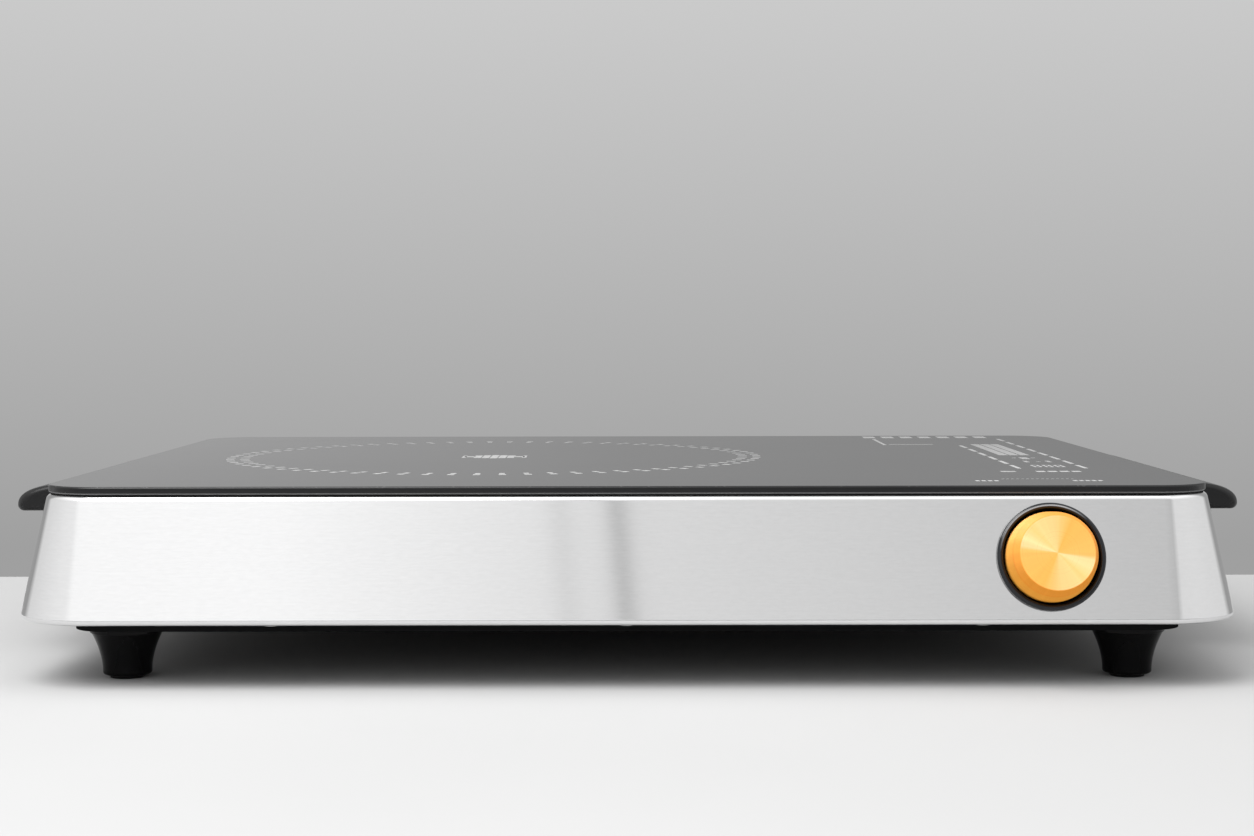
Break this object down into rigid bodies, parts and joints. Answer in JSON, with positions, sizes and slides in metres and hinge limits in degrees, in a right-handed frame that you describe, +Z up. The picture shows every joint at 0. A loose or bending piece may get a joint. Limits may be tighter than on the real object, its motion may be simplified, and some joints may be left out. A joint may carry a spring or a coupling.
{
  "type": "induction cooktop",
  "caption": "Portable electric induction cooktop: leaning steel housing, black glass top, side handles, front push-and-turn knob and waisted feet.",
  "frame": {"origin": "on the table under the middle of the glass, at the centre of the footprint box", "axes": "+X to the user's right along the long side, +Y to the back, +Z up"},
  "size_m": [0.414, 0.3268, 0.0625],
  "materials": {
    "glass_top": "polished black ceramic glass",
    "black_rubber": "matt rubber",
    "brushed_steel": "horizontally brushed stainless",
    "black_plastic": "fine moulded texture",
    "screw_steel": "zinc plated",
    "foot_plastic": "semi-gloss",
    "handle_plastic": "satin",
    "gold_anodised": "gold anodised, spun face",
    "bezel_plastic": "polished",
    "plain_steel": "plain steel",
    "brass_parts": "plain brass",
    "circuit_board": "solder mask",
    "fan_plastic": "moulded",
    "copper": "enamelled copper wire",
    "former_plastic": "heat-resistant moulding",
    "ferrite": "sintered",
    "lead_sleeve": "silicone sleeve",
    "mica": "pressed mica",
    "white_rubber": "silicone",
    "heatsink_aluminium": "extruded",
    "component_black": "moulded epoxy",
    "component_yellow": "moulded box and tape",
    "component_blue": "shrink sleeve",
    "component_green": "moulded",
    "fuse_ceramic": "ceramic tube with caps",
    "display_white": "light box",
    "cable_grey": "flat cable"
  },
  "bodies": {
    "housing": {"glass_panel": "glass_top", "glass_gasket": "black_rubber", "housing_shell": "brushed_steel", "base_pan": "black_plastic", "base_screws": "screw_steel", "foot_front_left": "foot_plastic", "foot_front_right": "foot_plastic", "foot_rear_left": "foot_plastic", "foot_rear_right": "foot_plastic", "foot_pads": "black_rubber", "foot_screws": "screw_steel", "handle_left": "handle_plastic", "handle_right": "handle_plastic", "handle_screws": "screw_steel", "cord_gland": "black_plastic", "gland_nut": "black_plastic", "knob_bezel": "bezel_plastic", "encoder_body": "plain_steel", "encoder_nut": "plain_steel", "encoder_board": "circuit_board", "fan_frame": "fan_plastic", "fan_stator": "copper", "fan_bearing": "brass_parts", "fan_screws": "screw_steel", "coil_former": "former_plastic", "induction_coil": "copper", "ferrite_bars": "ferrite", "coil_leads": "lead_sleeve", "coil_screws": "screw_steel", "mica_sheet": "mica", "sensor_holder": "white_rubber", "pan_sensor": "plain_steel", "power_board": "circuit_board", "board_screws": "screw_steel", "heatsink": "heatsink_aluminium", "power_transistor": "component_black", "bridge_rectifier": "component_black", "resonant_capacitor": "component_yellow", "smoothing_capacitor": "component_yellow", "filter_choke": "copper", "electrolytic_capacitors": "component_blue", "line_fuse": "fuse_ceramic", "standby_transformer": "component_yellow", "buzzer": "component_black", "terminal_block": "component_green", "controller_chip": "component_black", "control_bracket": "black_plastic", "control_board": "circuit_board", "display_module": "display_white", "touch_springs": "plain_steel", "bracket_screws": "screw_steel", "ribbon_cable": "cable_grey", "fan_lead": "lead_sleeve"},
    "encoder_rotor": {"encoder_rotor": "brass_parts"},
    "knob": {"knob_cap": "gold_anodised", "knob_core": "black_plastic", "encoder_shaft": "plain_steel"},
    "fan": {"fan_rotor": "fan_plastic", "fan_shaft": "plain_steel"}
  },
  "joints": [
    {"name": "knob_turn", "type": "hinge", "parent": "housing", "child": "encoder_rotor", "pos_m": [0.1304, -0.14982, 0.0408], "axis": [0, -0.9749, 0.2227], "continuous": true},
    {"name": "knob_press", "type": "slide", "parent": "encoder_rotor", "child": "knob", "axis": [0, 0.9749, -0.2227], "range_m": [0, 0.0006], "stiffness_N_per_m": 2500},
    {"name": "fan_spin", "type": "hinge", "parent": "housing", "child": "fan", "pos_m": [0.105, -0.05, 0.03], "axis": [0, 0, 1], "continuous": true}
  ]
}
